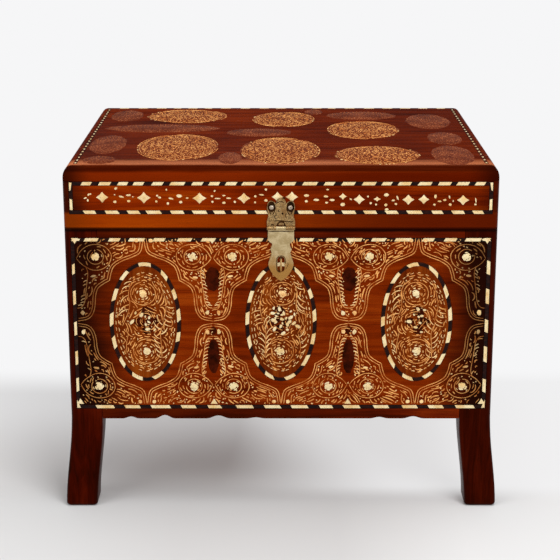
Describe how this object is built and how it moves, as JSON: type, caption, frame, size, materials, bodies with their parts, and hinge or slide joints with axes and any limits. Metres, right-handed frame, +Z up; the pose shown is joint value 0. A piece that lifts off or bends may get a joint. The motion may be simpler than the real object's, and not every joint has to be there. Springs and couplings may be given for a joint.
{
  "type": "inlaid wooden box",
  "caption": "Rectangular wooden box on short legs with a hinged lid and a hasp, its faces inlaid with light and dark stringing, oval medallions and fine scrollwork.",
  "frame": {"origin": "on the floor between the feet, at the middle of the whole box's bounds seen from above", "axes": "+Z up, -Y out of the front with the hasp, +X to the right as seen from the front"},
  "size_m": [0.372, 0.296, 0.3],
  "materials": {
    "case_wood": "satin varnished red-brown wood",
    "leg_wood": "satin dark red-brown wood",
    "lid_wood": "satin varnished red-brown wood",
    "top_wood": "glossy varnished red-brown wood",
    "field_wood": "satin varnished wood let with fine inlay",
    "plaque_wood": "satin varnished wood let with fine inlay",
    "inner_wood": "plain unvarnished wood",
    "bone_stringing": "polished bone and ebony pieces in turn",
    "aged_brass": "aged, dull",
    "dark_steel": "dark, dull"
  },
  "bodies": {
    "case": {"post_front_left": "leg_wood", "post_front_right": "leg_wood", "post_rear_left": "leg_wood", "post_rear_right": "leg_wood", "panel_front": "case_wood", "panel_back": "case_wood", "panel_left": "case_wood", "panel_right": "case_wood", "cleat_front": "inner_wood", "cleat_back": "inner_wood", "cleat_left": "inner_wood", "cleat_right": "inner_wood", "base_board": "inner_wood", "border_front": "bone_stringing", "border_left": "bone_stringing", "border_right": "bone_stringing", "veneer_front": "field_wood", "veneer_left": "field_wood", "veneer_right": "field_wood", "medallion_front_left": "plaque_wood", "medallion_front_centre": "plaque_wood", "medallion_front_right": "plaque_wood", "medallion_left_front": "plaque_wood", "medallion_left_rear": "plaque_wood", "medallion_right_front": "plaque_wood", "medallion_right_rear": "plaque_wood", "hinge_left_case_leaf": "aged_brass", "hinge_right_case_leaf": "aged_brass", "hinge_left_pin": "dark_steel", "hinge_right_pin": "dark_steel", "hinge_left_case_screw_left": "dark_steel", "hinge_left_case_screw_right": "dark_steel", "hinge_right_case_screw_left": "dark_steel", "hinge_right_case_screw_right": "dark_steel", "staple": "dark_steel"},
    "lid": {"lid_top": "top_wood", "lid_rail_front": "lid_wood", "lid_rail_back": "lid_wood", "lid_rail_left": "lid_wood", "lid_rail_right": "lid_wood", "lid_border_front": "bone_stringing", "lid_border_left": "bone_stringing", "lid_border_right": "bone_stringing", "lid_border_top": "bone_stringing", "hinge_left_lid_leaf": "aged_brass", "hinge_right_lid_leaf": "aged_brass", "hinge_left_lid_screw_left": "dark_steel", "hinge_left_lid_screw_right": "dark_steel", "hinge_right_lid_screw_left": "dark_steel", "hinge_right_lid_screw_right": "dark_steel", "hasp_plate": "aged_brass", "hasp_pin": "dark_steel", "hasp_nail_left": "dark_steel", "hasp_nail_right": "dark_steel"},
    "hasp": {"hasp_leaf": "aged_brass"}
  },
  "joints": [
    {"name": "lid_hinge", "type": "hinge", "parent": "case", "child": "lid", "pos_m": [0, 0.1375, 0.2465], "axis": [-1, 0, 0], "range_deg": [0, 100]},
    {"name": "hasp_swing", "type": "hinge", "parent": "lid", "child": "hasp", "pos_m": [0, -0.1399, 0.2484], "axis": [-1, 0, 0], "range_deg": [0, 160]}
  ]
}
